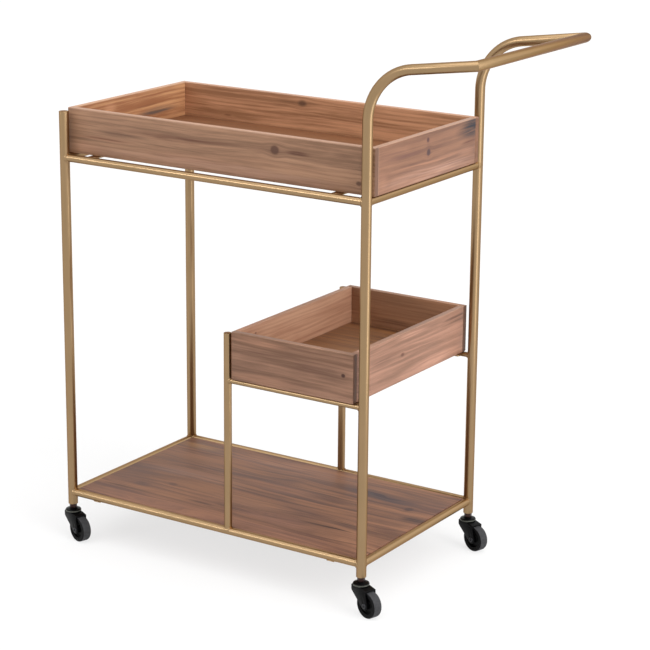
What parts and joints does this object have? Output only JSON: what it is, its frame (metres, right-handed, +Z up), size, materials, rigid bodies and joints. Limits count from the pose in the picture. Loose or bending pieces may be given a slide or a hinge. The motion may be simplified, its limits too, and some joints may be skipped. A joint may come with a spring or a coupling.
{
  "type": "bar cart",
  "caption": "Bar cart: welded gold tube frame with a push handle, two open wooden trays, a low wooden shelf and swivel casters.",
  "frame": {"origin": "on the floor, under the centre of the cart's bounding box", "axes": "+X along the cart's length towards the push handle, +Y from its front to its back, +Z up"},
  "size_m": [0.9196, 0.4386, 1.0466],
  "materials": {
    "gold_frame": "satin gold coat on welded steel tube",
    "tray_wood": "oiled reddish brown softwood with knots",
    "shelf_wood": "oiled darker brown softwood with knots",
    "leg_insert_plastic": "moulded, matte",
    "caster_steel": "semi-gloss black",
    "wheel_plastic": "moulded, matte",
    "wheel_rubber": "dark grey, fine matte"
  },
  "bodies": {
    "frame": {"front_left_leg": "gold_frame", "back_left_leg": "gold_frame", "front_left_leg_cap": "gold_frame", "back_left_leg_cap": "gold_frame", "front_handle_leg": "gold_frame", "back_handle_leg": "gold_frame", "handle_crossbar": "gold_frame", "top_front_rail": "gold_frame", "top_back_rail": "gold_frame", "top_left_rail": "gold_frame", "top_right_rail": "gold_frame", "shelf_front_rail": "gold_frame", "shelf_back_rail": "gold_frame", "shelf_left_rail": "gold_frame", "shelf_right_rail": "gold_frame", "front_post": "gold_frame", "back_post": "gold_frame", "front_post_cap": "gold_frame", "back_post_cap": "gold_frame", "front_mid_rail": "gold_frame", "back_mid_rail": "gold_frame", "top_tray_front_board": "tray_wood", "top_tray_back_board": "tray_wood", "top_tray_left_board": "tray_wood", "top_tray_right_board": "tray_wood", "top_tray_base": "tray_wood", "mid_tray_front_board": "tray_wood", "mid_tray_back_board": "tray_wood", "mid_tray_left_board": "tray_wood", "mid_tray_right_board": "tray_wood", "mid_tray_base": "tray_wood", "shelf_panel": "shelf_wood", "front_left_leg_insert": "leg_insert_plastic", "front_left_caster_stem": "caster_steel", "back_left_leg_insert": "leg_insert_plastic", "back_left_caster_stem": "caster_steel", "front_right_leg_insert": "leg_insert_plastic", "front_right_caster_stem": "caster_steel", "back_right_leg_insert": "leg_insert_plastic", "back_right_caster_stem": "caster_steel"},
    "front_left_swivel": {"front_left_caster_fork": "caster_steel", "front_left_caster_axle": "caster_steel"},
    "front_left_wheel": {"front_left_wheel_hub": "wheel_plastic", "front_left_wheel_tyre": "wheel_rubber"},
    "back_left_swivel": {"back_left_caster_fork": "caster_steel", "back_left_caster_axle": "caster_steel"},
    "back_left_wheel": {"back_left_wheel_hub": "wheel_plastic", "back_left_wheel_tyre": "wheel_rubber"},
    "front_right_swivel": {"front_right_caster_fork": "caster_steel", "front_right_caster_axle": "caster_steel"},
    "front_right_wheel": {"front_right_wheel_hub": "wheel_plastic", "front_right_wheel_tyre": "wheel_rubber"},
    "back_right_swivel": {"back_right_caster_fork": "caster_steel", "back_right_caster_axle": "caster_steel"},
    "back_right_wheel": {"back_right_wheel_hub": "wheel_plastic", "back_right_wheel_tyre": "wheel_rubber"}
  },
  "joints": [
    {"name": "front_left_swivel_joint", "type": "hinge", "parent": "frame", "child": "front_left_swivel", "pos_m": [-0.44201, -0.1965, 0.05715], "axis": [0, 0, 1], "continuous": true},
    {"name": "front_left_wheel_joint", "type": "hinge", "parent": "front_left_swivel", "child": "front_left_wheel", "pos_m": [-0.41954, -0.20337, 0.025], "axis": [0.2924, 0.9563, 0], "continuous": true},
    {"name": "back_left_swivel_joint", "type": "hinge", "parent": "frame", "child": "back_left_swivel", "pos_m": [-0.44201, 0.2035, 0.05715], "axis": [0, 0, 1], "continuous": true},
    {"name": "back_left_wheel_joint", "type": "hinge", "parent": "back_left_swivel", "child": "back_left_wheel", "pos_m": [-0.41954, 0.19663, 0.025], "axis": [0.2924, 0.9563, 0], "continuous": true},
    {"name": "front_right_swivel_joint", "type": "hinge", "parent": "frame", "child": "front_right_swivel", "pos_m": [0.23799, -0.1965, 0.05715], "axis": [0, 0, 1], "continuous": true},
    {"name": "front_right_wheel_joint", "type": "hinge", "parent": "front_right_swivel", "child": "front_right_wheel", "pos_m": [0.26046, -0.20337, 0.025], "axis": [0.2924, 0.9563, 0], "continuous": true},
    {"name": "back_right_swivel_joint", "type": "hinge", "parent": "frame", "child": "back_right_swivel", "pos_m": [0.23799, 0.2035, 0.05715], "axis": [0, 0, 1], "continuous": true},
    {"name": "back_right_wheel_joint", "type": "hinge", "parent": "back_right_swivel", "child": "back_right_wheel", "pos_m": [0.26046, 0.19663, 0.025], "axis": [0.2924, 0.9563, 0], "continuous": true}
  ]
}
